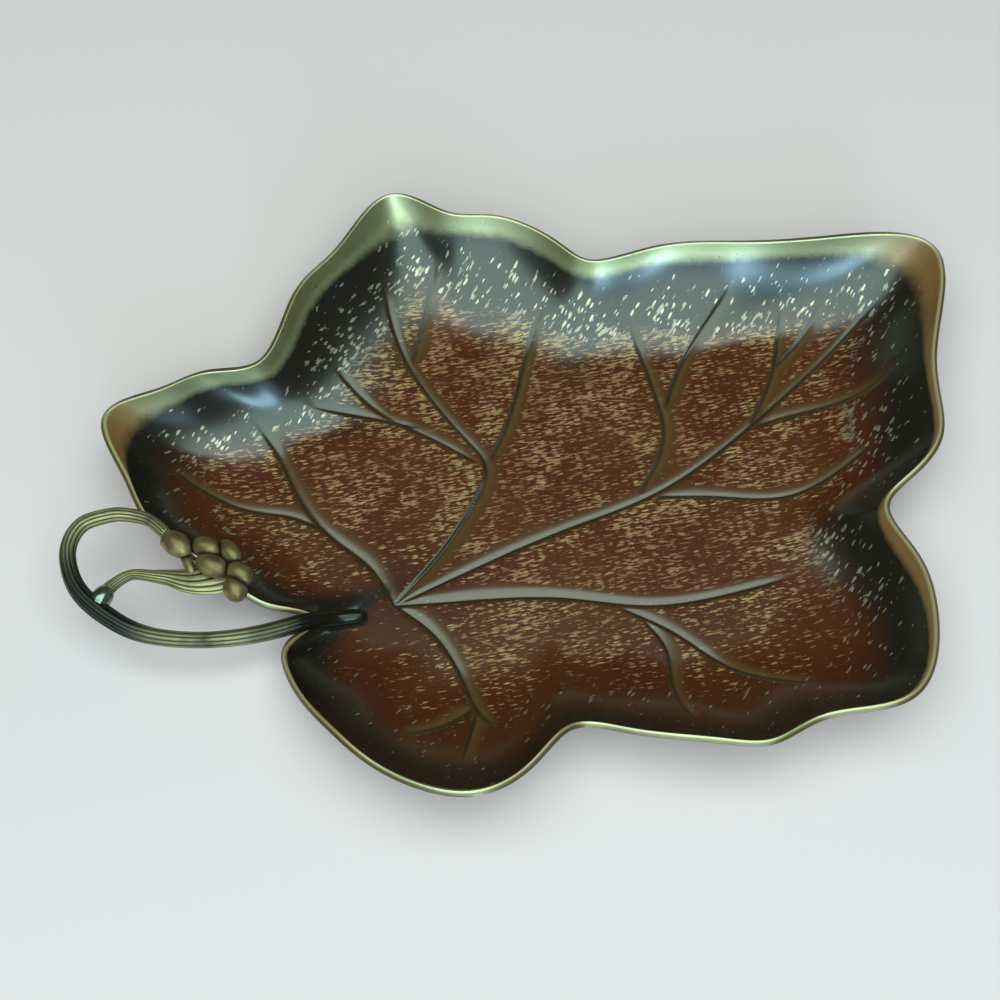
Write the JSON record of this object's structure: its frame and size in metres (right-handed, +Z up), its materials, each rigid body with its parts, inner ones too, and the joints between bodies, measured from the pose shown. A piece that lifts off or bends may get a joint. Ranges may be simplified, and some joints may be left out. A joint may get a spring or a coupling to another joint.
{
  "type": "ring dish",
  "caption": "Leaf-shaped metal ring dish with a cupped lobed rim, pressed veins and a reeded stem handle that loops round a cluster of buds.",
  "frame": {"origin": "on the plane the dish stands on, under the point where the main veins meet", "axes": "+X along the dish away from the handle, +Z up out of the dish"},
  "size_m": [0.1914, 0.1472, 0.0196],
  "materials": {
    "leaf_lacquer": "brown lacquer with gold flecks over pressed brass sheet, polished rim",
    "stem_brass": "cast brass, dark patina in the hollows, worn bright on the reeds",
    "bud_brass": "cast brass, satin polish",
    "braze": "braze metal, wiped smooth and bright",
    "solder": "solder, blackened"
  },
  "bodies": {
    "root": {"leaf_dish": "leaf_lacquer", "tongue_solder": "solder", "stem_handle": "stem_brass", "bud_branch": "stem_brass", "fork_braze": "braze", "end_bud": "bud_brass", "bud_stalk": "bud_brass", "bud_middle": "bud_brass", "bud_lower": "bud_brass", "bud_upper_left": "bud_brass", "bud_right": "bud_brass", "bud_upper_right": "bud_brass"}
  },
  "joints": []
}
